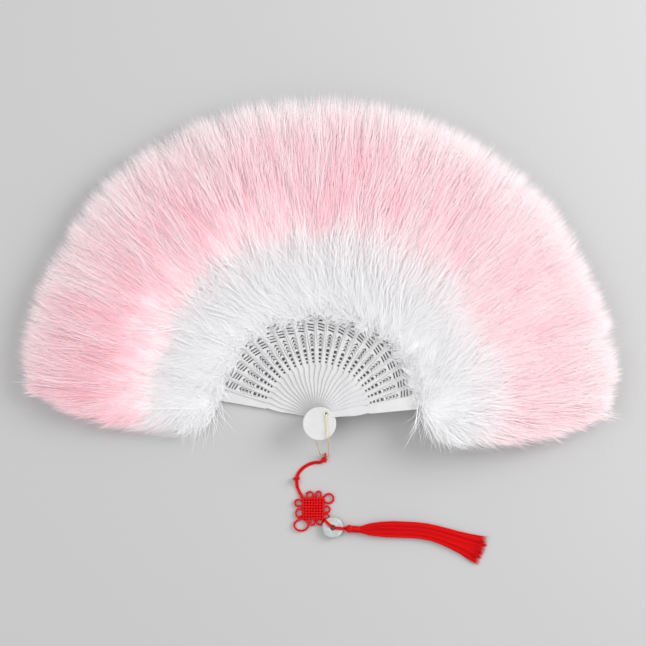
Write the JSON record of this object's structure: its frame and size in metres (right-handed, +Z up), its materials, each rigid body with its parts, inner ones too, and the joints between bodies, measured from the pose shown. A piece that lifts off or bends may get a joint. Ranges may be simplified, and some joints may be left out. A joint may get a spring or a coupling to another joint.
{
  "type": "folding feather fan",
  "caption": "Folding hand fan of pierced white sticks on one pivot, each with a soft pink and white plume, and a red cord charm with a woven knot, stone ring and tassel.",
  "frame": {"origin": "on the pivot axis, at the flat underside of the pin's head, level with the table", "axes": "+Y along the middle stick towards the plume tips, +X to the right seen from the front face, +Z up out of the front face"},
  "size_m": [0.5372, 0.4137, 0.0332],
  "materials": {
    "white_plastic": "moulded ivory-white plastic, soft gloss",
    "feather": "downy dyed feather, pink outside and white at the base",
    "gold": "gold metallic cord",
    "eyelet_brass": "rolled brass eyelet",
    "pin_steel": "plain steel rivet",
    "red_cord": "satin cord and silky thread",
    "pale_stone": "polished pale green stone"
  },
  "bodies": {
    "front": {"front_guard": "white_plastic", "plume_front": "feather", "pivot_pin": "pin_steel", "loop_eyelet": "eyelet_brass", "gold_loop": "gold"},
    "back": {"back_guard": "white_plastic", "plume_back": "feather"},
    "stick_01": {"stave_01": "white_plastic", "plume_01": "feather"},
    "stick_02": {"stave_02": "white_plastic", "plume_02": "feather"},
    "stick_03": {"stave_03": "white_plastic", "plume_03": "feather"},
    "stick_04": {"stave_04": "white_plastic", "plume_04": "feather"},
    "stick_05": {"stave_05": "white_plastic", "plume_05": "feather"},
    "stick_06": {"stave_06": "white_plastic", "plume_06": "feather"},
    "stick_07": {"stave_07": "white_plastic", "plume_07": "feather"},
    "stick_08": {"stave_08": "white_plastic", "plume_08": "feather"},
    "stick_09": {"stave_09": "white_plastic", "plume_09": "feather"},
    "stick_10": {"stave_10": "white_plastic", "plume_10": "feather"},
    "stick_11": {"stave_11": "white_plastic", "plume_11": "feather"},
    "stick_12": {"stave_12": "white_plastic", "plume_12": "feather"},
    "stick_13": {"stave_13": "white_plastic", "plume_13": "feather"},
    "stick_14": {"stave_14": "white_plastic", "plume_14": "feather"},
    "stick_15": {"stave_15": "white_plastic", "plume_15": "feather"},
    "stick_16": {"stave_16": "white_plastic", "plume_16": "feather"},
    "stick_17": {"stave_17": "white_plastic", "plume_17": "feather"},
    "stick_18": {"stave_18": "white_plastic", "plume_18": "feather"},
    "stick_19": {"stave_19": "white_plastic", "plume_19": "feather"},
    "stick_20": {"stave_20": "white_plastic", "plume_20": "feather"},
    "stick_21": {"stave_21": "white_plastic", "plume_21": "feather"},
    "stick_22": {"stave_22": "white_plastic", "plume_22": "feather"},
    "stick_23": {"stave_23": "white_plastic", "plume_23": "feather"},
    "charm": {"hanging_cord": "red_cord", "endless_knot": "red_cord", "ring_loop": "red_cord", "jade_ring": "pale_stone"},
    "tassel": {"tassel_loop": "red_cord", "tassel_head": "red_cord", "tassel_skirt": "red_cord"}
  },
  "joints": [
    {"name": "fan_fold", "type": "hinge", "parent": "front", "child": "back", "pos_m": [0, 0, 0], "axis": [0, 0, -1], "range_deg": [0, 158.4], "deforming": ["plume_back", "plume_front"]},
    {"name": "stick_01_fold", "type": "hinge", "parent": "front", "child": "stick_01", "pos_m": [0, 0, 0], "axis": [0, 0, -1], "range_deg": [0, 151.8], "deforming": ["plume_01"]},
    {"name": "stick_02_fold", "type": "hinge", "parent": "front", "child": "stick_02", "pos_m": [0, 0, 0], "axis": [0, 0, -1], "range_deg": [0, 145.2], "deforming": ["plume_02"]},
    {"name": "stick_03_fold", "type": "hinge", "parent": "front", "child": "stick_03", "pos_m": [0, 0, 0], "axis": [0, 0, -1], "range_deg": [0, 138.6], "deforming": ["plume_03"]},
    {"name": "stick_04_fold", "type": "hinge", "parent": "front", "child": "stick_04", "pos_m": [0, 0, 0], "axis": [0, 0, -1], "range_deg": [0, 132], "deforming": ["plume_04"]},
    {"name": "stick_05_fold", "type": "hinge", "parent": "front", "child": "stick_05", "pos_m": [0, 0, 0], "axis": [0, 0, -1], "range_deg": [0, 125.4], "deforming": ["plume_05"]},
    {"name": "stick_06_fold", "type": "hinge", "parent": "front", "child": "stick_06", "pos_m": [0, 0, 0], "axis": [0, 0, -1], "range_deg": [0, 118.8], "deforming": ["plume_06"]},
    {"name": "stick_07_fold", "type": "hinge", "parent": "front", "child": "stick_07", "pos_m": [0, 0, 0], "axis": [0, 0, -1], "range_deg": [0, 112.2], "deforming": ["plume_07"]},
    {"name": "stick_08_fold", "type": "hinge", "parent": "front", "child": "stick_08", "pos_m": [0, 0, 0], "axis": [0, 0, -1], "range_deg": [0, 105.6], "deforming": ["plume_08"]},
    {"name": "stick_09_fold", "type": "hinge", "parent": "front", "child": "stick_09", "pos_m": [0, 0, 0], "axis": [0, 0, -1], "range_deg": [0, 99], "deforming": ["plume_09"]},
    {"name": "stick_10_fold", "type": "hinge", "parent": "front", "child": "stick_10", "pos_m": [0, 0, 0], "axis": [0, 0, -1], "range_deg": [0, 92.4], "deforming": ["plume_10"]},
    {"name": "stick_11_fold", "type": "hinge", "parent": "front", "child": "stick_11", "pos_m": [0, 0, 0], "axis": [0, 0, -1], "range_deg": [0, 85.8], "deforming": ["plume_11"]},
    {"name": "stick_12_fold", "type": "hinge", "parent": "front", "child": "stick_12", "pos_m": [0, 0, 0], "axis": [0, 0, -1], "range_deg": [0, 79.2], "deforming": ["plume_12"]},
    {"name": "stick_13_fold", "type": "hinge", "parent": "front", "child": "stick_13", "pos_m": [0, 0, 0], "axis": [0, 0, -1], "range_deg": [0, 72.6], "deforming": ["plume_13"]},
    {"name": "stick_14_fold", "type": "hinge", "parent": "front", "child": "stick_14", "pos_m": [0, 0, 0], "axis": [0, 0, -1], "range_deg": [0, 66], "deforming": ["plume_14"]},
    {"name": "stick_15_fold", "type": "hinge", "parent": "front", "child": "stick_15", "pos_m": [0, 0, 0], "axis": [0, 0, -1], "range_deg": [0, 59.4], "deforming": ["plume_15"]},
    {"name": "stick_16_fold", "type": "hinge", "parent": "front", "child": "stick_16", "pos_m": [0, 0, 0], "axis": [0, 0, -1], "range_deg": [0, 52.8], "deforming": ["plume_16"]},
    {"name": "stick_17_fold", "type": "hinge", "parent": "front", "child": "stick_17", "pos_m": [0, 0, 0], "axis": [0, 0, -1], "range_deg": [0, 46.2], "deforming": ["plume_17"]},
    {"name": "stick_18_fold", "type": "hinge", "parent": "front", "child": "stick_18", "pos_m": [0, 0, 0], "axis": [0, 0, -1], "range_deg": [0, 39.6], "deforming": ["plume_18"]},
    {"name": "stick_19_fold", "type": "hinge", "parent": "front", "child": "stick_19", "pos_m": [0, 0, 0], "axis": [0, 0, -1], "range_deg": [0, 33], "deforming": ["plume_19"]},
    {"name": "stick_20_fold", "type": "hinge", "parent": "front", "child": "stick_20", "pos_m": [0, 0, 0], "axis": [0, 0, -1], "range_deg": [0, 26.4], "deforming": ["plume_20"]},
    {"name": "stick_21_fold", "type": "hinge", "parent": "front", "child": "stick_21", "pos_m": [0, 0, 0], "axis": [0, 0, -1], "range_deg": [0, 19.8], "deforming": ["plume_21"]},
    {"name": "stick_22_fold", "type": "hinge", "parent": "front", "child": "stick_22", "pos_m": [0, 0, 0], "axis": [0, 0, -1], "range_deg": [0, 13.2], "deforming": ["plume_22"]},
    {"name": "stick_23_fold", "type": "hinge", "parent": "front", "child": "stick_23", "pos_m": [0, 0, 0], "axis": [0, 0, -1], "range_deg": [0, 6.6], "deforming": ["plume_23"]},
    {"name": "charm_swing", "type": "hinge", "parent": "front", "child": "charm", "pos_m": [0.0084, -0.0367, 0.00205], "axis": [0, 0, 1], "range_deg": [-45, 10]},
    {"name": "tassel_swing", "type": "hinge", "parent": "charm", "child": "tassel", "pos_m": [0.01776, -0.10012, 0.0037], "axis": [0, 0, 1], "range_deg": [-60, 15]}
  ],
  "couplings": [
    {"joint": "stick_01_fold", "follows": "fan_fold", "ratio": 0.95833},
    {"joint": "stick_02_fold", "follows": "fan_fold", "ratio": 0.91667},
    {"joint": "stick_03_fold", "follows": "fan_fold", "ratio": 0.875},
    {"joint": "stick_04_fold", "follows": "fan_fold", "ratio": 0.83333},
    {"joint": "stick_05_fold", "follows": "fan_fold", "ratio": 0.79167},
    {"joint": "stick_06_fold", "follows": "fan_fold", "ratio": 0.75},
    {"joint": "stick_07_fold", "follows": "fan_fold", "ratio": 0.70833},
    {"joint": "stick_08_fold", "follows": "fan_fold", "ratio": 0.66667},
    {"joint": "stick_09_fold", "follows": "fan_fold", "ratio": 0.625},
    {"joint": "stick_10_fold", "follows": "fan_fold", "ratio": 0.58333},
    {"joint": "stick_11_fold", "follows": "fan_fold", "ratio": 0.54167},
    {"joint": "stick_12_fold", "follows": "fan_fold", "ratio": 0.5},
    {"joint": "stick_13_fold", "follows": "fan_fold", "ratio": 0.45833},
    {"joint": "stick_14_fold", "follows": "fan_fold", "ratio": 0.41667},
    {"joint": "stick_15_fold", "follows": "fan_fold", "ratio": 0.375},
    {"joint": "stick_16_fold", "follows": "fan_fold", "ratio": 0.33333},
    {"joint": "stick_17_fold", "follows": "fan_fold", "ratio": 0.29167},
    {"joint": "stick_18_fold", "follows": "fan_fold", "ratio": 0.25},
    {"joint": "stick_19_fold", "follows": "fan_fold", "ratio": 0.20833},
    {"joint": "stick_20_fold", "follows": "fan_fold", "ratio": 0.16667},
    {"joint": "stick_21_fold", "follows": "fan_fold", "ratio": 0.125},
    {"joint": "stick_22_fold", "follows": "fan_fold", "ratio": 0.083333},
    {"joint": "stick_23_fold", "follows": "fan_fold", "ratio": 0.041667}
  ]
}
